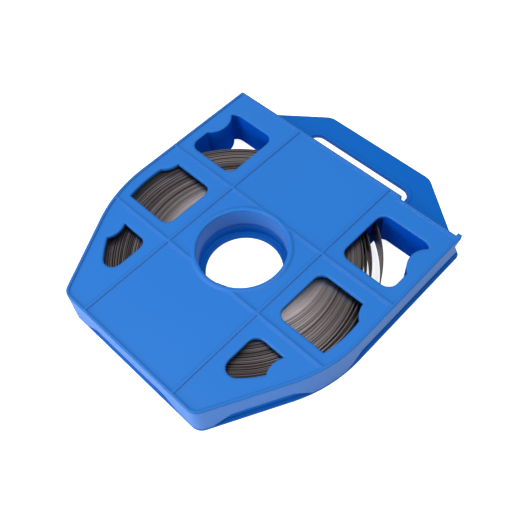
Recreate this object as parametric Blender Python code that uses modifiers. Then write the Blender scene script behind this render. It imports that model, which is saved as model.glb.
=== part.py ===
"""Moulded plastic dispenser with a coil of stainless steel banding, lying on its rear face.

The case is a front shell with a deep skirt over a rear tray, and they locate on pins. All sizes are in
metres. The plan is drawn about the hub axis, and HUB_Y moves the whole part so that the middle of
its floor print is at the origin.
"""
import math

import bmesh
import bpy

# Hub: a tube in each half, with a smaller hole in the rear plate.
FRONT_BORE_R = 0.0309
HUB_WALL = 0.0038
HUB_LIP = 0.0008         # height of the rounded lip round the front bore
REAR_BORE_STEP = 0.0006  # the rear tube is wider than the front one by this much
REAR_HOLE_STEP = 0.0037  # and the hole in the rear plate is smaller

# Band coil: 19 mm band that lies on the rear plate.
BAND_WIDTH = 0.01905
BAND_THICK = 0.0007
COIL_PLAY = 0.0093       # from the hub to the innermost turn
COIL_BUILD = 0.0345      # the close turns, from the inside out
COIL_TURNS = 8           # turns drawn on the ends, each standing for several real ones
TURN_GROOVE = 0.0006
COIL_SEAT = 0.0003       # gap under the coil

# Sprung outer turns: how far the last one stands off the close ones, and how its round is bent.
LOOSE_TURNS = 5
LOOSE_SPREAD = 0.0175
LOOSE_LEAN = 0.0035      # further out on the left
LOOSE_SAG = 0.0055       # further out at the bottom
LOOSE_SQUARE = 0.0015
LOOSE_SKEW = 0.0012
LOOSE_KICK = 0.0065      # the free end springs out by this much
KICK_REACH = math.radians(75)      # over this much of the last turn
END_ANGLE = math.radians(60)       # where the band ends, from +X

# Case, drawn about the hub axis. Its width leaves room for the sprung turns.
SIDE_ROOM = 0.0247       # close turns to the outside of the case
CASE_TOP = 0.1054        # hub axis to the top edge, where the handle is
CASE_LOW = 0.1032        # hub axis to the bottom edge
TAPER_ANGLE = math.radians(28.3)   # the lower sides lean in by this much
LOW_CORNER_R = 0.0090
TOP_CORNER_R = 0.0012
WALL = 0.0016
PLATE = 0.0022
DRAFT = 0.0004           # the front skirt leans in by this much
BAND_PLAY = 0.00345      # above the coil, under the front plate
FRONT_DEPTH = 0.0158     # parting plane below the front rim
PARTING_GAP = 0.0003
SKIRT_GAP = 0.0006       # between the front skirt and the rear wall inside it

# The front skirt comes down to the rear plate at the corners and is raised along the straight sides.
ARCH_SLOPE = 0.0130
SIDE_ARCH_END = 0.0020
TAPER_ARCH = (-0.0010, 0.0390)
LOW_ARCH = 0.0330

# Rim and ribs that stand on the sunk face.
RIM_WIDTH = 0.0018
RIM_HEIGHT = 0.0008
RIB_WIDTH = 0.0022
RIB_HEIGHT = 0.0007
RIB_X = 0.0418
RIB_Y = (0.0323, -0.0289)

# Windows on the right side, mirrored to the left. Their inner sides stand off the innermost turn.
WINDOW_START = 0.0075
WINDOW_EDGE = 0.0098     # from the outside of the case
WINDOW_R = 0.0071
TOP_WINDOW_EDGE = 0.0199           # from the top edge
WINDOW_OVER_RIB = 0.0078
WINDOW_UNDER_RIB = 0.0104
TUNNEL_WALL = 0.0016     # wall that follows the top windows from half to half
COIL_CLEARANCE = 0.0015

# Round pads that the windows give way to. The top pair are bosses with locating pins.
PAD_R = 0.0148
PAD_RELIEF = 0.0004      # the window edge stands this far off its pad
PAD_EDGE = 0.0012        # centres of the two upper pads, from the side
TOP_PAD_Y = 0.0704
MID_PAD_Y = 0.0224
LOW_PAD_EDGE = 0.0031    # centre of the lower pad, from the tapered side
PIN_R = 0.0030
PIN_LENGTH = 0.0060
PIN_CLEARANCE = 0.0003
PIN_INSET = 0.0070       # pin axis inside its pad's centre, towards the hub
CORNER_BOSS_R = 0.0055
CORNER_BOSS_IN = 0.0105  # axis of a lower corner's boss, from the bottom edge
CORNER_BOSS_X = 0.0520

# Band outlet along the top edge, right of the middle.
OUTLET_X = 0.0530
OUTLET_SETBACK = 0.0026
OUTLET_TIP = 0.0042      # width of the wall's end that is left standing at the corner
NOTCH_DEPTH = 0.0075     # the end of the right skirt is notched by this much
NOTCH_Z = 0.0061         # deepest point of the notch, below the front rim

# Handle, in one plate with the rear shell.
HANDLE_REACH = 0.0439    # beyond the top edge
HANDLE_HALF_TOP = 0.0480
HANDLE_R = 0.0120
HANDLE_THICK = 0.0025
HANDLE_SHOULDER = 0.0020
SHOULDER_R = 0.0030
SLOT_HALF = 0.0466
SLOT_LOW = 0.0050        # beyond the top edge
SLOT_TOP = 0.0202        # below the handle's top
SLOT_R = 0.0080
LIP_WIDTH = 0.0034
LIP_HEIGHT = 0.0006

HUB_RING_R = FRONT_BORE_R + HUB_WALL
REAR_BORE_R = FRONT_BORE_R + REAR_BORE_STEP
REAR_HOLE_R = FRONT_BORE_R - REAR_HOLE_STEP
COIL_IN_R = HUB_RING_R + COIL_PLAY
COIL_OUT_R = COIL_IN_R + COIL_BUILD
HALF_WIDTH = COIL_OUT_R + SIDE_ROOM
COIL_Z = PLATE + COIL_SEAT
FACE = COIL_Z + BAND_WIDTH + BAND_PLAY + PLATE
THICKNESS = FACE + RIM_HEIGHT
PARTING = THICKNESS - FRONT_DEPTH
HANDLE_TOP = CASE_TOP + HANDLE_REACH
HUB_Y = -(HANDLE_TOP - CASE_LOW) / 2
WINDOW_IN = COIL_IN_R + WINDOW_START
WINDOW_OUT = HALF_WIDTH - WINDOW_EDGE
TOP_WINDOW = (RIB_Y[0] + WINDOW_OVER_RIB, CASE_TOP - TOP_WINDOW_EDGE)
MID_WINDOW = (RIB_Y[1] + WINDOW_OVER_RIB, RIB_Y[0] - WINDOW_UNDER_RIB)
LOW_WINDOW_TOP = RIB_Y[1] - WINDOW_UNDER_RIB
LOW_PAD_R = HALF_WIDTH - LOW_PAD_EDGE
PADS = ((HALF_WIDTH - PAD_EDGE, TOP_PAD_Y), (HALF_WIDTH - PAD_EDGE, MID_PAD_Y),
        (LOW_PAD_R * math.cos(TAPER_ANGLE), -LOW_PAD_R * math.sin(TAPER_ANGLE)))

BLUE = (0.020, 0.195, 0.640)
DEEP_BLUE = (0.012, 0.150, 0.560)
STEEL = (0.310, 0.290, 0.285)


def reset():
    for obj in list(bpy.data.objects):
        bpy.data.objects.remove(obj, do_unlink=True)


def collection(name, hidden=False):
    coll = bpy.data.collections.new(name)
    bpy.context.scene.collection.children.link(coll)
    coll.hide_render = hidden
    return coll


def material(name, colour, roughness, metallic=0.0):
    mat = bpy.data.materials.new(name)
    mat.use_nodes = True
    shader = mat.node_tree.nodes["Principled BSDF"]
    shader.inputs["Base Color"].default_value = (*colour, 1.0)
    shader.inputs["Roughness"].default_value = roughness
    shader.inputs["Metallic"].default_value = metallic
    return mat


def arc(cx, cy, radius, start, end, steps):
    """Points on an arc, angles in radians, both ends included."""
    angles = [start + (end - start) * i / steps for i in range(steps + 1)]
    return [(cx + radius * math.cos(a), cy + radius * math.sin(a)) for a in angles]


def rounded(corners, steps=6):
    """Turn (x, y, radius) corners into points, with an arc where the radius isn't zero."""
    points = []
    for i, (x, y, radius) in enumerate(corners):
        if radius <= 0:
            points.append((x, y))
            continue
        before, after = corners[i - 1], corners[(i + 1) % len(corners)]
        ux, uy = before[0] - x, before[1] - y
        vx, vy = after[0] - x, after[1] - y
        ul, vl = math.hypot(ux, uy), math.hypot(vx, vy)
        ux, uy, vx, vy = ux / ul, uy / ul, vx / vl, vy / vl
        half = math.acos(max(-1.0, min(1.0, ux * vx + uy * vy))) / 2
        bx, by = ux + vx, uy + vy
        bl = math.hypot(bx, by)
        cx, cy = x + bx / bl * radius / math.sin(half), y + by / bl * radius / math.sin(half)
        reach = radius / math.tan(half)
        start = math.atan2(y + uy * reach - cy, x + ux * reach - cx)
        sweep = math.atan2(y + vy * reach - cy, x + vx * reach - cx) - start
        sweep = (sweep + math.pi) % (2 * math.pi) - math.pi
        points += arc(cx, cy, radius, start, start + sweep, steps)
    return points


def new_object(name, bm, coll, mat=None):
    bmesh.ops.recalc_face_normals(bm, faces=bm.faces)
    mesh = bpy.data.meshes.new(name)
    bm.to_mesh(mesh)
    bm.free()
    obj = bpy.data.objects.new(name, mesh)
    coll.objects.link(obj)
    if coll.hide_render:
        obj.display_type = "WIRE"
        obj.hide_render = True
    if mat:
        mesh.materials.append(mat)
    return obj


def loft(name, low, high, z0, z1, coll, mat=None):
    """A closed solid between two outlines of as many points."""
    bm = bmesh.new()
    bottom = [bm.verts.new((x, y + HUB_Y, z0)) for x, y in low]
    top = [bm.verts.new((x, y + HUB_Y, z1)) for x, y in high]
    bm.faces.new(bottom)
    bm.faces.new(top)
    count = len(bottom)
    for i in range(count):
        j = (i + 1) % count
        bm.faces.new((bottom[i], bottom[j], top[j], top[i]))
    return new_object(name, bm, coll, mat)


def prism(name, outline, z0, z1, coll, mat=None):
    return loft(name, outline, outline, z0, z1, coll, mat)


def disc(name, cx, cy, radius, z0, z1, coll, steps=64):
    return prism(name, arc(cx, cy, radius, 0, 2 * math.pi * (steps - 1) / steps, steps - 1), z0, z1, coll)


def box(name, x, y, z, coll):
    return prism(name, [(x[0], y[0]), (x[1], y[0]), (x[1], y[1]), (x[0], y[1])], z[0], z[1], coll)


def combine(obj, tool, operation):
    mod = obj.modifiers.new(tool.name, "BOOLEAN")
    mod.operation = operation
    mod.object = tool
    mod.solver = "EXACT"


def mirror(obj):
    """Copy to the left side of the hub."""
    mod = obj.modifiers.new("left side", "MIRROR")
    mod.use_axis = (True, False, False)
    mod.use_mirror_merge = False
    return obj


def case_outline(inset, setback=0.0):
    """The case in plan, moved in by inset, with the top edge set back between outlet and corner."""
    width, top, low = HALF_WIDTH - inset, CASE_TOP - inset, CASE_LOW - inset
    side = arc(0, 0, width, 0, -TAPER_ANGLE, 8)
    reach = (low - width * math.sin(TAPER_ANGLE)) / math.cos(TAPER_ANGLE)
    foot = width * math.cos(TAPER_ANGLE) - reach * math.sin(TAPER_ANGLE)
    corner = max(LOW_CORNER_R - inset, 0.001)
    tip = HALF_WIDTH - OUTLET_TIP + inset
    right_top, step = top, []
    if setback:
        step = [(OUTLET_X - inset, top, 0), (OUTLET_X - inset, top - setback, 0)]
        if tip < width - TOP_CORNER_R:
            step += [(tip, top - setback, 0), (tip, top, 0)]
        else:
            right_top = top - setback
    right = [(width, right_top, TOP_CORNER_R)] + [(x, y, 0) for x, y in side] + [(foot, -low, corner)]
    left = [(-foot, -low, corner)] + [(-x, y, 0) for x, y in reversed(side)] + [(-width, top, TOP_CORNER_R)]
    return rounded(right + left + step)


def window_outlines():
    """Right side windows in plan: top, middle, bottom."""
    low, high = TOP_WINDOW
    top = rounded([(WINDOW_IN, low, WINDOW_R), (WINDOW_OUT, low, WINDOW_R),
                   (WINDOW_OUT, high, WINDOW_R), (WINDOW_IN, high, WINDOW_R)])
    low, high = MID_WINDOW
    edge = arc(0, 0, WINDOW_OUT, math.asin(low / WINDOW_OUT), math.asin(high / WINDOW_OUT), 8)
    middle = rounded([(WINDOW_IN, low, WINDOW_R)] + [(x, y, 0) for x, y in edge]
                     + [(WINDOW_IN, high, WINDOW_R)])
    # The bottom window closes with a fillet between the outer circle and its upright inner side.
    fillet_x = WINDOW_IN + WINDOW_R
    turn = math.acos(fillet_x / (WINDOW_OUT - WINDOW_R))
    fillet_y = -(WINDOW_OUT - WINDOW_R) * math.sin(turn)
    edge = arc(0, 0, WINDOW_OUT, math.asin(LOW_WINDOW_TOP / WINDOW_OUT), -turn, 8)
    edge += arc(fillet_x, fillet_y, WINDOW_R, -turn, -math.pi, 8)[1:]
    bottom = rounded([(x, y, 0) for x, y in edge] + [(WINDOW_IN, LOW_WINDOW_TOP, WINDOW_R)])
    return top, middle, bottom


def window_cutters(coll):
    """Three cutters a side, each clear of the round pads that it passes."""
    cutters = []
    for name, outline in zip(("top", "middle", "bottom"), window_outlines()):
        cutter = prism(f"{name}_window", outline, -0.005, THICKNESS + 0.005, coll)
        for i, (x, y) in enumerate(PADS):
            relief = disc(f"{name}_window_relief_{i}", x, y, PAD_R + PAD_RELIEF, -0.006,
                          THICKNESS + 0.006, coll, 48)
            combine(cutter, relief, "DIFFERENCE")
        cutters.append(mirror(cutter))
    return cutters


def boss_places():
    """Centre, radius and pin axis of the right side's bosses: the top pad's and the lower corner's."""
    x, y = PADS[0]
    scale = 1 - PIN_INSET / math.hypot(x, y)
    corner = (CORNER_BOSS_X, -CASE_LOW + CORNER_BOSS_IN)
    return ((x, y, PAD_R, x * scale, y * scale), (*corner, CORNER_BOSS_R, *corner))


def bosses(name, z0, z1, inset, coll):
    """The bosses of one half, trimmed to stay inside its wall."""
    trim = prism(f"{name}_trim", case_outline(inset), z0, z1, coll)
    made = []
    for i, (x, y, radius, _, _) in enumerate(boss_places()):
        boss = disc(f"{name}_{i}", x, y, radius, z0 - 0.0002, z1 + 0.0002, coll, 40)
        combine(boss, trim, "INTERSECT")
        made.append(mirror(boss))
    return made


def tunnel(name, z0, z1, coll):
    """Walls that follow a top window, cut back where the loose turns of band pass."""
    out = TUNNEL_WALL
    low, high = TOP_WINDOW
    block = prism(name, rounded([(WINDOW_IN - out, low - out, WINDOW_R + out),
                                 (WINDOW_OUT + out, low - out, WINDOW_R + out),
                                 (WINDOW_OUT + out, high + out, WINDOW_R + out),
                                 (WINDOW_IN - out, high + out, WINDOW_R + out)]), z0, z1, coll)
    reach = COIL_OUT_R + loose_reach(math.radians(150)) + COIL_CLEARANCE
    sweep = disc(f"{name}_sweep", 0, 0, reach, z0 - 0.001, z1 + 0.001, coll, 96)
    combine(block, sweep, "DIFFERENCE")
    return mirror(block)


def front_ribs(coll):
    """Two upright and four level ribs that divide the face."""
    reach, z = HALF_WIDTH - RIM_WIDTH / 2, (FACE - PLATE / 2, FACE + RIB_HEIGHT)
    half = RIB_WIDTH / 2
    ribs = [mirror(box("upright_rib", (RIB_X - half, RIB_X + half),
                       (-CASE_LOW + RIM_WIDTH / 2, CASE_TOP - RIM_WIDTH / 2), z, coll))]
    for i, y in enumerate(RIB_Y):
        outer = reach if y > 0 else math.sqrt(reach ** 2 - y ** 2)
        ribs.append(box(f"level_rib_{i}", (-outer, outer), (y - half, y + half),
                        (z[0], z[1] - 0.00005), coll))
    return ribs


def extrude_along(name, profile, origin, along, coll):
    """A closed solid: profile points are (run, z), run goes along one plan direction from origin."""
    bm = bmesh.new()
    (ax, ay), (start, end) = along
    ends = []
    for out in (start, end):
        x, y = origin[0] + ax * out, origin[1] + ay * out + HUB_Y
        ends.append([bm.verts.new((x - ay * run, y + ax * run, z)) for run, z in profile])
    bm.faces.new(ends[0])
    bm.faces.new(ends[1])
    for i in range(len(profile)):
        j = (i + 1) % len(profile)
        bm.faces.new((ends[0][i], ends[0][j], ends[1][j], ends[1][i]))
    return new_object(name, bm, coll)


def arch(first, last, slopes):
    """Side view of the space under a raised stretch of skirt."""
    high, low = PARTING + PARTING_GAP / 2, PLATE - 0.001
    ends = (first - ARCH_SLOPE * slopes[0], last + ARCH_SLOPE * slopes[1])
    return [(first, high), (ends[0], PLATE), (ends[0], low), (ends[1], low), (ends[1], PLATE), (last, high)]


def skirt_arches(coll):
    """Raise the front skirt along its straight sides, so that the rear tray shows under it."""
    deep, past, top = 0.012, 0.010, CASE_TOP + 0.010
    side = extrude_along("side_arch", arch(SIDE_ARCH_END, top, (1, 0)), (HALF_WIDTH, 0),
                         ((1, 0), (-deep, past)), coll)
    lean = (math.cos(TAPER_ANGLE), -math.sin(TAPER_ANGLE))
    taper = extrude_along("taper_arch", arch(-TAPER_ARCH[1], -TAPER_ARCH[0], (1, 1)),
                          (HALF_WIDTH * lean[0], HALF_WIDTH * lean[1]), (lean, (-deep, past)), coll)
    low = extrude_along("low_arch", arch(-LOW_ARCH, LOW_ARCH, (1, 1)), (0, -CASE_LOW),
                        ((0, -1), (-deep, past)), coll)
    upper = box("upper_arch", (-HALF_WIDTH - past, HALF_WIDTH + past), (CASE_TOP - WALL * 2, top),
                (PLATE - 0.001, PARTING + PARTING_GAP / 2), coll)
    return [mirror(side), mirror(taper), low, upper]


def outlet_notch(coll):
    """The notch in the end of the right skirt, which slopes both ways from its deepest point."""
    under = THICKNESS - RIM_HEIGHT * 2
    profile = [(CASE_TOP + 0.0005, under), (CASE_TOP - NOTCH_DEPTH, THICKNESS - NOTCH_Z),
               (CASE_TOP - OUTLET_SETBACK, PARTING - 0.001), (CASE_TOP + 0.010, PARTING - 0.001),
               (CASE_TOP + 0.010, under)]
    return extrude_along("outlet_notch", profile, (HALF_WIDTH, 0), ((1, 0), (-0.014, 0.010)), coll)


def front_shell(coll, cutters, windows, mat):
    low, z0 = PLATE + PARTING_GAP, PARTING + PARTING_GAP / 2
    shell = loft("front_shell", case_outline(0, OUTLET_SETBACK), case_outline(DRAFT, OUTLET_SETBACK),
                 low, THICKNESS, coll, mat)
    combine(shell, loft("front_pocket", case_outline(WALL), case_outline(WALL + DRAFT),
                        low - 0.001, FACE - PLATE, cutters), "DIFFERENCE")
    combine(shell, prism("face_recess", case_outline(RIM_WIDTH + DRAFT, OUTLET_SETBACK), FACE,
                         THICKNESS + 0.001, cutters), "DIFFERENCE")
    for cutter in skirt_arches(cutters) + [outlet_notch(cutters)]:
        combine(shell, cutter, "DIFFERENCE")
    combine(shell, hub_tube(z0, cutters), "UNION")
    for rib in front_ribs(cutters):
        combine(shell, rib, "UNION")
    combine(shell, tunnel("front_tunnel", z0, FACE - PLATE / 2, cutters), "UNION")
    for boss in bosses("front_boss", z0, FACE - PLATE / 2, WALL / 2 + DRAFT, cutters):
        combine(shell, boss, "UNION")
    for i, (_, _, _, x, y) in enumerate(boss_places()):
        pin = disc(f"front_pin_{i}", x, y, PIN_R, z0 - PIN_LENGTH, z0 + 0.002, cutters, 20)
        combine(shell, mirror(pin), "UNION")
    for window in windows:
        combine(shell, window, "DIFFERENCE")
    combine(shell, disc("front_bore", 0, 0, FRONT_BORE_R, z0 - 0.001, THICKNESS + 0.001, cutters, 72),
            "DIFFERENCE")
    return shell


def hub_tube(z0, coll):
    """The front half of the hub, with a rounded lip that stands on the face."""
    bore, out, lip = FRONT_BORE_R - 0.001, HUB_RING_R, HUB_LIP
    profile = [(bore, z0), (out, z0), (out, FACE), (out - lip * 0.5, FACE + lip * 0.7),
               (out - lip * 1.5, FACE + lip), (FRONT_BORE_R + lip * 1.5, FACE + lip),
               (FRONT_BORE_R + lip * 0.4, FACE + lip * 0.6), (FRONT_BORE_R, FACE - lip), (bore, FACE - lip)]
    return turned("front_hub", profile, coll, None, 72)


def handle_outline():
    """The handle and the part of the rear plate that it grows from."""
    low, shoulder = CASE_TOP - WALL, CASE_TOP + HANDLE_SHOULDER
    return rounded([(-HALF_WIDTH, low, 0), (HALF_WIDTH, low, 0), (HALF_WIDTH, shoulder, SHOULDER_R),
                    (HANDLE_HALF_TOP, HANDLE_TOP, HANDLE_R), (-HANDLE_HALF_TOP, HANDLE_TOP, HANDLE_R),
                    (-HALF_WIDTH, shoulder, SHOULDER_R)])


def slot_outline(out):
    half, radius = SLOT_HALF + out, SLOT_R + out
    low, high = CASE_TOP + SLOT_LOW - out, HANDLE_TOP - SLOT_TOP + out
    return rounded([(-half, low, radius), (half, low, radius), (half, high, radius), (-half, high, radius)])


def rear_shell(coll, cutters, windows, mat):
    z1 = PARTING - PARTING_GAP / 2
    shell = prism("rear_shell", case_outline(0), 0.0, PLATE, coll, mat)
    combine(shell, prism("handle_plate", handle_outline(), 0.0, HANDLE_THICK, cutters), "UNION")
    combine(shell, prism("rear_wall", case_outline(WALL + SKIRT_GAP), PLATE / 2, z1, cutters), "UNION")
    combine(shell, prism("rear_pocket", case_outline(WALL * 2 + SKIRT_GAP), PLATE, z1 + 0.001, cutters),
            "DIFFERENCE")
    combine(shell, prism("slot_lip", slot_outline(LIP_WIDTH), HANDLE_THICK / 2, HANDLE_THICK + LIP_HEIGHT,
                         cutters), "UNION")
    combine(shell, prism("handle_slot", slot_outline(0), -0.001, HANDLE_THICK + 0.010, cutters), "DIFFERENCE")
    combine(shell, disc("rear_hub", 0, 0, HUB_RING_R, PLATE / 2, z1, cutters, 72), "UNION")
    combine(shell, tunnel("rear_tunnel", PLATE / 2, z1, cutters), "UNION")
    for boss in bosses("rear_boss", PLATE / 2, z1, WALL + SKIRT_GAP, cutters):
        combine(shell, boss, "UNION")
    for i, (_, _, _, x, y) in enumerate(boss_places()):
        socket = disc(f"rear_socket_{i}", x, y, PIN_R + PIN_CLEARANCE, z1 - PIN_LENGTH - PIN_CLEARANCE,
                      z1 + 0.001, cutters, 20)
        combine(shell, mirror(socket), "DIFFERENCE")
    outlet = box("rear_outlet", (OUTLET_X + WALL, HALF_WIDTH - OUTLET_TIP),
                 (CASE_TOP - WALL * 3, CASE_TOP + 0.001), (HANDLE_THICK + LIP_HEIGHT, z1 + 0.001), cutters)
    combine(shell, outlet, "DIFFERENCE")
    for window in windows:
        combine(shell, window, "DIFFERENCE")
    combine(shell, disc("rear_bore", 0, 0, REAR_BORE_R, PLATE, z1 + 0.001, cutters, 72), "DIFFERENCE")
    combine(shell, disc("rear_hole", 0, 0, REAR_HOLE_R, -0.001, PLATE + 0.001, cutters, 72), "DIFFERENCE")
    return shell


def coil_profile():
    """Half section of the close turns: lands and grooves along both ends."""
    pitch = (COIL_OUT_R - COIL_IN_R) / COIL_TURNS
    z0 = COIL_Z
    low, high = [], []
    for i in range(COIL_TURNS):
        r = COIL_IN_R + i * pitch
        land = r + pitch * 0.7
        high += [(r, z0 + BAND_WIDTH), (land, z0 + BAND_WIDTH)]
        low += [(r, z0), (land, z0)]
        if i < COIL_TURNS - 1:
            mid = r + pitch * 0.85
            high.append((mid, z0 + BAND_WIDTH - TURN_GROOVE))
            low.append((mid, z0 + TURN_GROOVE))
    high[-1], low[-1] = (COIL_OUT_R, z0 + BAND_WIDTH), (COIL_OUT_R, z0)
    return high + low[::-1]


def turned(name, profile, coll, mat, steps=56):
    """A closed ring, the profile turned about the hub axis."""
    bm = bmesh.new()
    rings = []
    for i in range(steps):
        a = 2 * math.pi * i / steps
        rings.append([bm.verts.new((r * math.cos(a), r * math.sin(a) + HUB_Y, z)) for r, z in profile])
    for i in range(steps):
        here, there = rings[i], rings[(i + 1) % steps]
        for j in range(len(profile)):
            k = (j + 1) % len(profile)
            bm.faces.new((here[j], there[j], there[k], here[k]))
    return new_object(name, bm, coll, mat)


def loose_reach(angle):
    """How far a turn that is wholly sprung stands off the close ones, by its angle from +X."""
    return (LOOSE_SPREAD - LOOSE_LEAN * math.cos(angle) - LOOSE_SAG * math.sin(angle)
            + LOOSE_SQUARE * math.cos(2 * angle) - LOOSE_SKEW * math.sin(2 * angle))


def loose_turns(coll, steps=60):
    """The sprung outer turns: a spiral strip that leaves the close turns and ends free."""
    total = steps * LOOSE_TURNS
    half = BAND_THICK / 2
    bm = bmesh.new()
    rows = []
    for i in range(total + 1):
        back = 2 * math.pi * (total - i) / steps
        a = END_ANGLE - back
        kick = max(0.0, 1 - back / KICK_REACH)
        r = COIL_OUT_R - half + loose_reach(a) * i / total + LOOSE_KICK * kick * kick * (3 - 2 * kick)
        rows.append([bm.verts.new((radius * math.cos(a), radius * math.sin(a) + HUB_Y, z)) for radius, z in
                     ((r - half, COIL_Z), (r + half, COIL_Z), (r + half, COIL_Z + BAND_WIDTH),
                      (r - half, COIL_Z + BAND_WIDTH))])
    bm.faces.new(rows[0])
    bm.faces.new(rows[-1])
    for here, there in zip(rows, rows[1:]):
        for j in range(4):
            k = (j + 1) % 4
            bm.faces.new((here[j], here[k], there[k], there[j]))
    return new_object("loose_turns", bm, coll)


def band_coil(coll, cutters, mat):
    coil = turned("band_coil", coil_profile(), coll, mat)
    combine(coil, loose_turns(cutters), "UNION")
    return coil


def main():
    reset()
    parts = collection("banding_dispenser")
    cutters = collection("cutters", hidden=True)
    windows = window_cutters(cutters)
    front_shell(parts, cutters, windows, material("blue_plastic_front", BLUE, 0.38))
    rear_shell(parts, cutters, windows, material("blue_plastic_rear", DEEP_BLUE, 0.38))
    band_coil(parts, cutters, material("stainless_band", STEEL, 0.32, 1.0))


main()
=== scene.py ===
# %% [markdown]
# # A banding dispenser: stainless band in a moulded plastic case
#
# The real object is a flat plastic case: a front shell with a deep skirt over a rear tray that
# carries the handle. It lies on its rear plate and holds a coil of stainless steel banding whose
# outer turns have sprung loose. The two shells come from the CAD frame, because their shape is
# right there. The CAD coil stands for its close turns with one grooved ring, so this lesson winds
# the real band turn by turn in its place. Then it gives the plastic and the steel their finish.

# %% Load the frame
import math
import random

import bpy
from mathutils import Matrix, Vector


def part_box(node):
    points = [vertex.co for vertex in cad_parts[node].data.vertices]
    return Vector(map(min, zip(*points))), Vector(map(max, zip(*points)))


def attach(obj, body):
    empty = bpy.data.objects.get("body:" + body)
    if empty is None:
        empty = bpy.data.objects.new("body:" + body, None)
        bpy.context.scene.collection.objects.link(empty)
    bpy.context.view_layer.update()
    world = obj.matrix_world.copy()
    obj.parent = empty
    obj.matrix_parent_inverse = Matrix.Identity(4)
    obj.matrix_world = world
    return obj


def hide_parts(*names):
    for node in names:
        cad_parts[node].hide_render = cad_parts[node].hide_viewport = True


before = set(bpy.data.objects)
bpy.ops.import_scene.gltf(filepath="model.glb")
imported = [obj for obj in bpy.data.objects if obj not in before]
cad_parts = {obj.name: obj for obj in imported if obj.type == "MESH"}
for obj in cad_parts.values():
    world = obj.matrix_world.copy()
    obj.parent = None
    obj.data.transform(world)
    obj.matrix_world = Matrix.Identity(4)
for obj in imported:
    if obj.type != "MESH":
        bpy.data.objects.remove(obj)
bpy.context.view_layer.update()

# %% [markdown]
# ## The sizes the lesson works from
#
# Everything is in metres. The hub axis is the centre of the whole plan, so its place is worked out
# first, from the CAD box of the front shell and the reach of the case below the hub. The coil sits
# in the box of the CAD coil.

# %% Sizes from the frame
MM = 0.001
CASE_LOW = 103.2 * MM                         # hub axis to the bottom edge

shell_low, shell_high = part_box("front_shell")
hub_y = shell_low.y + CASE_LOW
coil_low, coil_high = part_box("band_coil")
band_width = coil_high.z - coil_low.z
print("hub axis at y", round(hub_y / MM, 2), "mm, band", round(band_width / MM, 2), "mm wide")


# %% [markdown]
# ## Small helpers
#
# Colours are written as sRGB hex values, as a paint chart gives them, and Blender works in linear
# light, so one function converts them. Another adds a shader node with its settings and links in
# one line, so that a material reads as a list of its steps.

# %% Colour and node helpers
def srgb(code):
    """A colour written as RRGGBB, as linear light."""
    channels = [int(code[i:i + 2], 16) / 255 for i in (0, 2, 4)]
    return (*[c / 12.92 if c <= 0.04045 else ((c + 0.055) / 1.055) ** 2.4 for c in channels], 1.0)


def node(tree, kind, inputs=None, **settings):
    """Adds one node. An input is a value, or a socket to link from."""
    made = tree.nodes.new(kind)
    for name, value in settings.items():
        setattr(made, name, value)
    for key, value in (inputs or {}).items():
        if isinstance(value, bpy.types.NodeSocket):
            tree.links.new(value, made.inputs[key])
        else:
            made.inputs[key].default_value = value
    return made


def new_material(name):
    """An empty material with its tree and its Principled shader."""
    mat = bpy.data.materials.new(name)
    mat.use_nodes = True
    return mat, mat.node_tree, mat.node_tree.nodes["Principled BSDF"]


# %% [markdown]
# ## Winding the band
#
# Steel banding is slit from sheet into a long flat strip and wound on itself. It can be made the
# same way here: a flat grid as long as the band, given its thickness, and then rolled up by moving
# each cross-section to its place on a spiral. A spin would make closed rings, and a screw can't
# grow in radius, so rolling the strip is the honest way, and it keeps a UV map that runs along the
# band.
#
# The turns don't lie evenly. The inner ones are tight, so their edges look like one smooth face.
# From there outwards the band has sprung back: the turns spread to the case's walls, and further
# out they lie in bunches, with a dark gap after each bunch. So the spaces are drawn from a seeded
# random row: narrow within a bunch and wide after it.

# %% The band and its turns
BAND_THICK = 0.7 * MM
COIL_IN_R = 44.0 * MM
TURNS = 53
TIGHT_TURNS = 21
TIGHT_PITCH = 0.73 * MM
END_ANGLE = math.radians(60)                  # where the band ends, from +X
STEPS_PER_TURN = 120
MOST_LIFT = 0.5                               # mm, how far a turn stands above the lowest one

SMALL_BUNCHES = (1, 2, 2)                     # turns in a bunch, in the inner part of the spread
BIG_BUNCHES = (2, 3, 3)
BIG_BUNCHES_FROM = 0.4                        # share of the spread turns
GAP_IN_BUNCH = 0.06                           # at most, against 1 for a full gap
GAP_AFTER_BUNCH = (0.6, 1.0)
INNERMOST_GAP = 0.4                           # how wide the first gaps are, against the last

draw = random.Random(11)


def gap_shares():
    """For each turn, the share of the sprung turns' free space that lies inside it, 0 to 1."""
    shares = [0.0] * (TIGHT_TURNS + 1)
    while len(shares) < TURNS:
        outer = (len(shares) - TIGHT_TURNS) / (TURNS - TIGHT_TURNS)
        bunch = draw.choice(SMALL_BUNCHES if outer < BIG_BUNCHES_FROM else BIG_BUNCHES)
        for _ in range(bunch - 1):
            shares.append(shares[-1] + draw.uniform(0.0, GAP_IN_BUNCH))
        widening = INNERMOST_GAP + (1 - INNERMOST_GAP) * outer
        shares.append(shares[-1] + draw.uniform(*GAP_AFTER_BUNCH) * widening)
    shares = shares[:TURNS]
    return [share / shares[-1] for share in shares]


gap_share = gap_shares()
turn_height = [draw.uniform(0.0, MOST_LIFT) * MM for _ in range(TURNS + 2)]
print(TURNS, "turns, the inner", TIGHT_TURNS, "tight, out to radius",
      round((COIL_IN_R + TIGHT_TURNS * TIGHT_PITCH) / MM, 1), "mm")

# %% [markdown]
# How far the band has sprung is not the same all round. It stands furthest off at the left and the
# bottom, where it presses against the walls. Under the top right window it is held in: the turns
# lie tight there, only the last few stand off, and the free end kicks out. The last turn runs where
# the CAD draws it.

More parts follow.
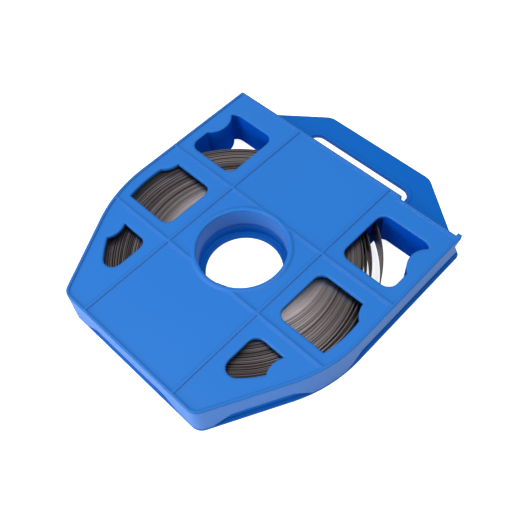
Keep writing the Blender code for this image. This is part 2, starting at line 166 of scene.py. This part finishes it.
# %% How far the band has sprung
SPRUNG_FROM = 78.5 * MM
LOOSE_SPREAD = 17.5 * MM
LOOSE_LEAN = 3.5 * MM
LOOSE_SAG = 5.5 * MM
LOOSE_SQUARE = 1.5 * MM
LOOSE_SKEW = 1.2 * MM
LOOSE_KICK = 6.5 * MM
KICK_REACH = 75 / 360                         # turns
LAST_TURN_GROWTH = 0.2
HELD_AT = math.radians(50)
HELD_WIDTH = math.radians(90)
HELD_TURNS = 4                                # only these stand off where the band is held in


def smooth(t):
    """Eases from 0 to 1."""
    t = min(max(t, 0.0), 1.0)
    return t * t * (3 - 2 * t)


def between(values, place):
    """A value between the entries of a list."""
    i = min(int(place), len(values) - 2)
    return values[i] + (values[i + 1] - values[i]) * (place - i)


def loose_reach(angle):
    """How far the sprung band stands off at an angle from +X."""
    return (LOOSE_SPREAD - LOOSE_LEAN * math.cos(angle) - LOOSE_SAG * math.sin(angle)
            + LOOSE_SQUARE * math.cos(2 * angle) - LOOSE_SKEW * math.sin(2 * angle))


def spiral_point(turns):
    """Radius, angle and lift of the band after a number of turns from its inner end."""
    angle = END_ANGLE + 2 * math.pi * turns
    back = TURNS - turns
    if back < 1:
        kick = smooth(1 - back / KICK_REACH)
        reach = loose_reach(angle) * (1 - LAST_TURN_GROWTH * back)
        radius = SPRUNG_FROM + reach + LOOSE_KICK * kick
    else:
        outermost = SPRUNG_FROM + loose_reach(angle) * (1 - LAST_TURN_GROWTH)
        free_space = outermost - COIL_IN_R - TIGHT_PITCH * (TURNS - 1)
        off_held = abs(math.remainder(angle - HELD_AT, 2 * math.pi))
        spread = smooth(off_held / HELD_WIDTH)
        held = max(0.0, (HELD_TURNS - back) / (HELD_TURNS - 1)) ** 2
        share = held * (1 - spread) + between(gap_share, turns) * spread
        radius = COIL_IN_R + TIGHT_PITCH * turns + free_space * share
    return radius, angle, between(turn_height, turns)


for turns in (TIGHT_TURNS, TURNS - 1, TURNS):
    print("after", turns, "turns, radius", round(spiral_point(turns)[0] / MM, 1), "mm")


# %% Roll the flat strip up
def select_none():
    """An operator acts on all that is selected, so this comes before each new primitive."""
    bpy.ops.object.select_all(action="DESELECT")


def wind_band():
    """A flat strip, given its thickness and then wound."""
    steps = TURNS * STEPS_PER_TURN
    select_none()
    bpy.ops.mesh.primitive_grid_add(x_subdivisions=steps, y_subdivisions=1, size=2, calc_uvs=True)
    band = bpy.context.object
    band.name = "wound_band"
    bpy.ops.object.mode_set(mode="EDIT")
    bpy.ops.mesh.select_all(action="SELECT")
    bpy.ops.transform.resize(value=(TURNS / 2, band_width / 2, 1))
    bpy.ops.transform.translate(value=(TURNS / 2, band_width / 2, 0))
    bpy.ops.object.mode_set(mode="OBJECT")
    thick = band.modifiers.new("strip thickness", "SOLIDIFY")
    thick.thickness = BAND_THICK
    thick.offset = 0
    bpy.ops.object.modifier_apply(modifier=thick.name)
    for vertex in band.data.vertices:
        place, height, out = vertex.co
        radius, angle, lift = spiral_point(place)
        radius += out
        vertex.co = (radius * math.cos(angle), hub_y + radius * math.sin(angle),
                     coil_low.z + height + lift)
    band.data.update()
    return band


band = wind_band()
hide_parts("band_coil")
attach(band, "root")
print("band:", len(band.data.polygons), "faces")

# %% [markdown]
# ## Where the plastic is hidden
#
# Inside the case the light has bounced from blue to blue before it reaches the eye, and the skin
# is the mould's dull inner side. The walls of the two top windows get a deeper blue for it, as
# painted shade. So the material has to know where it is inside. Two shapes tell it: a box round the
# walls that line the two top windows, and the round space between the hub tube and the outer walls.
# Both are measured from the hub axis.

# %% The shapes that tell inside from outside
HUB_R = 36 * MM
INSIDE_R = 98 * MM
INSIDE_TOP = 26.5 * MM                        # just under the cover's face
WINDOW_WALLS = ((96 * MM, 88 * MM, INSIDE_TOP), (-96 * MM, 38 * MM, 0.0))     # high, low corner


def inside_box(tree, place, box):
    """1 inside a box given by its high and low corners from the hub axis, and 0 outside."""
    high, low = box
    middle = [(top + bottom) / 2 for top, bottom in zip(high, low)]
    half = [(top - bottom) / 2 for top, bottom in zip(high, low)]
    shifted = node(tree, "ShaderNodeVectorMath",
                   {0: place, 1: (middle[0], middle[1] + hub_y, middle[2])}, operation="SUBTRACT")
    scaled = node(tree, "ShaderNodeVectorMath", {0: shifted.outputs["Vector"], 1: half},
                  operation="DIVIDE")
    size = node(tree, "ShaderNodeVectorMath", {0: scaled.outputs["Vector"]}, operation="ABSOLUTE")
    parts = node(tree, "ShaderNodeSeparateXYZ", {0: size.outputs["Vector"]})
    widest = node(tree, "ShaderNodeMath", {0: parts.outputs["X"], 1: parts.outputs["Y"]},
                  operation="MAXIMUM")
    furthest = node(tree, "ShaderNodeMath", {0: widest.outputs["Value"], 1: parts.outputs["Z"]},
                    operation="MAXIMUM")
    return node(tree, "ShaderNodeMath", {0: furthest.outputs["Value"], 1: 1.0},
                operation="LESS_THAN").outputs["Value"]


def from_hub(tree, place):
    """The place in plan, measured from the hub axis."""
    return node(tree, "ShaderNodeMapping", {"Vector": place, "Location": (0, -hub_y, 0),
                                            "Scale": (1, 1, 0)}).outputs["Vector"]


def inside_case(tree, place):
    """1 from the hub tube to the outer walls and under the cover, and 0 outside."""
    reach = node(tree, "ShaderNodeVectorMath", {0: from_hub(tree, place)}, operation="LENGTH")
    height = node(tree, "ShaderNodeSeparateXYZ", {0: place})
    off_middle = node(tree, "ShaderNodeMath",
                      {0: reach.outputs["Value"], 1: (HUB_R + INSIDE_R) / 2}, operation="SUBTRACT")
    far = node(tree, "ShaderNodeMath", {0: off_middle.outputs["Value"]}, operation="ABSOLUTE")
    near = node(tree, "ShaderNodeMath", {0: far.outputs["Value"], 1: (INSIDE_R - HUB_R) / 2},
                operation="LESS_THAN")
    low = node(tree, "ShaderNodeMath", {0: height.outputs["Z"], 1: INSIDE_TOP},
               operation="LESS_THAN")
    return node(tree, "ShaderNodeMath", {0: near.outputs["Value"], 1: low.outputs["Value"]},
                operation="MULTIPLY").outputs["Value"]


# %% [markdown]
# ## The blue plastic
#
# The case is injection moulded, most likely in a polypropylene or an impact polystyrene coloured
# all through. The mould leaves a satin skin, so light edges are soft and the broad faces carry a
# faint unevenness. The rear tray is drawn in a slightly deeper, less red blue and has less shine
# than the cover.
#
# Every edge of a moulding has a small radius. The CAD edges are sharp, and the Bevel node rounds
# their shading without touching their mesh. Its radius is drawn coarser than the real one, so that
# the ribs catch their line of light at the size of the render. Where the plastic is hidden the
# edges stay sharp and the shine is left out, and in the window walls the blue is painted deeper, as
# painted shade.

# %% Moulded plastic
EDGE_ROUND = 2.4 * MM
# painted shade: the deeper blue given to the walls of the two top windows
WALL_SHADE_BLUE = "024DBE"
CLOUD_SCALE = 14.0                            # clouds about 70 mm across
GRAIN_SCALE = 1400.0                          # grain of about 0.7 mm
GRAIN_HEIGHT = 0.2 * MM
GRAIN_STRENGTH = 0.04
PLASTIC_IOR = 1.5


def moulded_plastic(name, colour, deep, roughness, shine):
    """Satin moulded plastic with soft edges, a faint cloudiness in its colour, and painted shade as
    a deeper blue on the top windows' walls.
    """
    mat, tree, shader = new_material(name)
    place = node(tree, "ShaderNodeTexCoord").outputs["Object"]
    cloud = node(tree, "ShaderNodeTexNoise", {"Vector": place, "Scale": CLOUD_SCALE, "Detail": 3.0})
    tone = node(tree, "ShaderNodeMix",
                {"Factor": cloud.outputs["Fac"], "A": srgb(deep), "B": srgb(colour)},
                data_type="RGBA")
    inner = inside_box(tree, place, WINDOW_WALLS)
    # the top windows' walls take the painted shade blue
    shade = node(tree, "ShaderNodeMix",
                 {"Factor": inner, "A": tone.outputs["Result"], "B": srgb(WALL_SHADE_BLUE)},
                 data_type="RGBA")
    tree.links.new(shade.outputs["Result"], shader.inputs["Base Color"])
    grain = node(tree, "ShaderNodeTexNoise", {"Vector": place, "Scale": GRAIN_SCALE, "Detail": 2.0})
    soft = node(tree, "ShaderNodeBevel", {"Radius": EDGE_ROUND}, samples=6)
    sharp = node(tree, "ShaderNodeNewGeometry")
    hidden = node(tree, "ShaderNodeMath", {0: inner, 1: inside_case(tree, place)},
                  operation="MAXIMUM")
    edges = node(tree, "ShaderNodeMix",
                 {"Factor": hidden.outputs["Value"], 4: soft.outputs["Normal"],
                  5: sharp.outputs["Normal"]}, data_type="VECTOR")
    skin = node(tree, "ShaderNodeBump",
                {"Strength": GRAIN_STRENGTH, "Distance": GRAIN_HEIGHT,
                 "Height": grain.outputs["Fac"], "Normal": edges.outputs[1]})
    tree.links.new(skin.outputs["Normal"], shader.inputs["Normal"])
    shader.inputs["Roughness"].default_value = roughness
    shader.inputs["IOR"].default_value = PLASTIC_IOR
    open_skin = node(tree, "ShaderNodeMath", {0: 1.0, 1: hidden.outputs["Value"]},
                     operation="SUBTRACT")
    level = node(tree, "ShaderNodeMath", {0: open_skin.outputs["Value"], 1: shine},
                 operation="MULTIPLY")
    tree.links.new(level.outputs["Value"], shader.inputs["Specular IOR Level"])
    return mat


front_plastic = moulded_plastic("moulded_plastic_front", "1C71C8", "1A6DC2", 0.42, 0.3)
rear_plastic = moulded_plastic("moulded_plastic_rear", "0567C4", "0462BD", 0.40, 0.12)
for name, mat in (("front_shell", front_plastic), ("rear_shell", rear_plastic)):
    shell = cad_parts[name]
    shell.data.materials.clear()
    shell.data.materials.append(mat)
    print(name, "is", mat.name)

# %% [markdown]
# ## The stainless band
#
# Cold rolled stainless with slit edges. Seen from the end, each turn shows its narrow slit edge,
# and no two turns catch the light alike, because they lean and stand at different heights. The
# strip's UV map runs along the band, so the turn's number is at hand in the shader, and the tone
# follows it: a fast change from turn to turn, and a slow one over several. A slit edge is drawn out
# along the band, so its shine spreads across the turns, and the tangent points that way. It also
# scatters a little.
#
# The tight inner turns hold each other level, so there the faces are one even tone, drawn lighter
# as a painted highlight for the bright streak the inner turns catch. The last turns stand free, and
# their rolled faces can be seen through the top right window. Those faces are drawn lighter too.

# %% Stainless strip
TURN_TONE_SCALE = 1.3                         # changes from one turn to the next
BUNCH_TONE_SCALE = 0.23                       # changes over four turns or so
BUNCH_TONE_SHARE = 0.45
SLIT_DARK, SLIT_LIGHT = "3A3436", "9E9495"
SLIT_DARK_AT, SLIT_LIGHT_AT = 0.35, 0.65
# the even tone of the tight turns, lightened as a painted highlight
EVEN_TONE_AND_HIGHLIGHT = "B8AFB1"
EVEN_UP_TO, EVEN_NONE_FROM, EVEN_SHARE = TIGHT_TURNS - 2, TIGHT_TURNS + 11, 0.8
ROLLED_TONE = "D6D0D1"
FREE_NONE_UP_TO, FREE_FROM, FREE_SHARE = TURNS - 3.5, TURNS - 2.5, 0.45
UPRIGHT = 0.5                                 # a normal that rises less is a rolled face's


def stainless_strip(name):
    """Slit and rolled stainless, its tone by the turn, with a painted highlight on the tight inner
    turns.
    """
    mat, tree, shader = new_material(name)
    place = node(tree, "ShaderNodeTexCoord")
    outward = node(tree, "ShaderNodeVectorMath", {0: from_hub(tree, place.outputs["Object"])},
                   operation="NORMALIZE")
    across = node(tree, "ShaderNodeVectorMath", {0: outward.outputs["Vector"], 1: (0, 0, 1)},
                  operation="ADD")
    along = node(tree, "ShaderNodeSeparateXYZ", {0: place.outputs["UV"]})
    turn = node(tree, "ShaderNodeMath", {0: along.outputs["X"], 1: TURNS}, operation="MULTIPLY")
    each = node(tree, "ShaderNodeTexNoise",
                {"W": turn.outputs["Value"], "Scale": TURN_TONE_SCALE}, noise_dimensions="1D")
    broad = node(tree, "ShaderNodeTexNoise",
                 {"W": turn.outputs["Value"], "Scale": BUNCH_TONE_SCALE}, noise_dimensions="1D")
    both = node(tree, "ShaderNodeMix",
                {"Factor": BUNCH_TONE_SHARE, "A": each.outputs["Fac"], "B": broad.outputs["Fac"]},
                data_type="FLOAT")
    tone = node(tree, "ShaderNodeValToRGB", {"Fac": both.outputs["Result"]})
    dark, light = tone.color_ramp.elements
    dark.position, dark.color = SLIT_DARK_AT, srgb(SLIT_DARK)
    light.position, light.color = SLIT_LIGHT_AT, srgb(SLIT_LIGHT)
    tight = node(tree, "ShaderNodeMapRange",
                 {"Value": turn.outputs["Value"], "From Min": EVEN_NONE_FROM,
                  "From Max": EVEN_UP_TO, "To Max": EVEN_SHARE})
    # the tight inner turns take the even tone with its painted highlight
    whole = node(tree, "ShaderNodeMix",
                 {"Factor": tight.outputs["Result"], "A": tone.outputs["Color"],
                  "B": srgb(EVEN_TONE_AND_HIGHLIGHT)}, data_type="RGBA")
    facing = node(tree, "ShaderNodeSeparateXYZ",
                  {0: node(tree, "ShaderNodeNewGeometry").outputs["Normal"]})
    rise = node(tree, "ShaderNodeMath", {0: facing.outputs["Z"]}, operation="ABSOLUTE")
    rolled = node(tree, "ShaderNodeMath", {0: rise.outputs["Value"], 1: UPRIGHT},
                  operation="LESS_THAN")
    last = node(tree, "ShaderNodeMapRange",
                {"Value": turn.outputs["Value"], "From Min": FREE_NONE_UP_TO,
                 "From Max": FREE_FROM, "To Max": FREE_SHARE})
    free_face = node(tree, "ShaderNodeMath",
                     {0: rolled.outputs["Value"], 1: last.outputs["Result"]}, operation="MULTIPLY")
    steel = node(tree, "ShaderNodeMix",
                 {"Factor": free_face.outputs["Value"], "A": whole.outputs["Result"],
                  "B": srgb(ROLLED_TONE)}, data_type="RGBA")
    tree.links.new(steel.outputs["Result"], shader.inputs["Base Color"])
    tree.links.new(across.outputs["Vector"], shader.inputs["Tangent"])
    shader.inputs["Anisotropic"].default_value = 0.8
    shader.inputs["Metallic"].default_value = 0.95
    shader.inputs["Roughness"].default_value = 0.33
    return mat


band.data.materials.clear()
band.data.materials.append(stainless_strip("stainless_strip"))
print(band.name, "is", band.data.materials[0].name)

# %% [markdown]
# ## Camera, floor and light
#
# The camera stands where the photographer stood: its place was worked out from the corners of the
# case. The floor is white, and glows for the camera and, less, in mirrored rays, so that it looks
# white through the windows and shows in the steel, and still keeps a faint shadow.
#
# Four soft lamps and a pale sky light the case. One stands low at the bottom edge, so the skirt
# there is bright and the ribs on the cover catch a line of light. One stands high at the near
# left, and one almost overhead at the right: each draws a bright streak across the turns in the
# windows. A faint one at the far left fills the last dark corner.

# %% Camera
CAMERA_PLACE = (0.20479, -0.19032, 0.41649)
CAMERA_TURN = (32.9597, 2.8682, 43.8634)      # degrees
CAMERA_LENS = 48.66                           # mm, on a 36 mm sensor

camera_data = bpy.data.cameras.new("camera")
camera_data.lens = CAMERA_LENS
camera_data.sensor_width = 36.0
camera_data.clip_start = 0.01
camera = bpy.data.objects.new("camera", camera_data)
camera.location = CAMERA_PLACE
camera.rotation_euler = [math.radians(a) for a in CAMERA_TURN]
bpy.context.scene.collection.objects.link(camera)
bpy.context.scene.camera = camera
camera_reach = (camera.location - Vector((0, hub_y, 0))).length
print("camera", round(camera_reach / MM), "mm from the hub")

# %% Floor and background
FLOOR_SIZE = 6.0
FLOOR_DROP = 0.2 * MM                         # keeps it clear of the rear plate
FLOOR_COLOUR = "F4F4F4"
FLOOR_SEEN, FLOOR_MIRRORED = 0.75, 0.15
SKY, SKY_SEEN = 0.38, 1.0

select_none()
bpy.ops.mesh.primitive_plane_add(size=FLOOR_SIZE, location=(0, 0, -FLOOR_DROP))
floor = bpy.context.object
floor.name = "floor"


def white_floor(name):
    """A dull white floor that glows only where it is seen, straight or mirrored."""
    mat, tree, shader = new_material(name)
    shader.inputs["Base Color"].default_value = srgb(FLOOR_COLOUR)
    shader.inputs["Roughness"].default_value = 0.9
    shader.inputs["Specular IOR Level"].default_value = 0.0
    path = node(tree, "ShaderNodeLightPath")
    mirrored = node(tree, "ShaderNodeMath",
                    {0: path.outputs["Is Glossy Ray"], 1: FLOOR_MIRRORED}, operation="MULTIPLY")
    seen = node(tree, "ShaderNodeMath",
                {0: path.outputs["Is Camera Ray"], 1: FLOOR_SEEN}, operation="MULTIPLY")
    glow = node(tree, "ShaderNodeMath",
                {0: mirrored.outputs["Value"], 1: seen.outputs["Value"]}, operation="ADD")
    shader.inputs["Emission Color"].default_value = (1, 1, 1, 1)
    tree.links.new(glow.outputs["Value"], shader.inputs["Emission Strength"])
    return mat


floor.data.materials.append(white_floor("white_floor"))

world = bpy.data.worlds.new("studio")
bpy.context.scene.world = world
world.use_nodes = True
sky = world.node_tree.nodes["Background"]
path = node(world.node_tree, "ShaderNodeLightPath")
seen = node(world.node_tree, "ShaderNodeMix",
            {"Factor": path.outputs["Is Camera Ray"], "A": SKY, "B": SKY_SEEN}, data_type="FLOAT")
world.node_tree.links.new(seen.outputs["Result"], sky.inputs["Strength"])
sky.inputs["Color"].default_value = (1, 1, 1, 1)


# %% Lamps
LAMPS = (                                     # name, place, aim, size in metres, watts
    ("low_front", (-0.1, -1.2, 0.25), (0, 0, 0.01), 0.5, 8.9),
    ("near_left", (-0.35, -0.45, 0.9), (0, 0, 0), 0.6, 5.6),
    ("high_right", (0.36, 0.18, 1.13), (0, 0, 0), 0.5, 4.6),
    ("left_back", (-0.72, 0.48, 0.83), (0, 0, 0), 0.5, 0.5),
)


def soft_lamp(name, place, aim, size, power):
    """A square soft lamp that faces a point."""
    data = bpy.data.lights.new(name, "AREA")
    data.shape = "SQUARE"
    data.size = size
    data.energy = power
    lamp = bpy.data.objects.new(name, data)
    lamp.location = place
    lamp.rotation_euler = (Vector(aim) - Vector(place)).to_track_quat("-Z", "Y").to_euler()
    bpy.context.scene.collection.objects.link(lamp)


for lamp in LAMPS:
    soft_lamp(*lamp)
print(len(LAMPS), "lamps,", sum(lamp[4] for lamp in LAMPS), "W")

# %% Colour management
scene = bpy.context.scene
scene.view_settings.view_transform = "Standard"
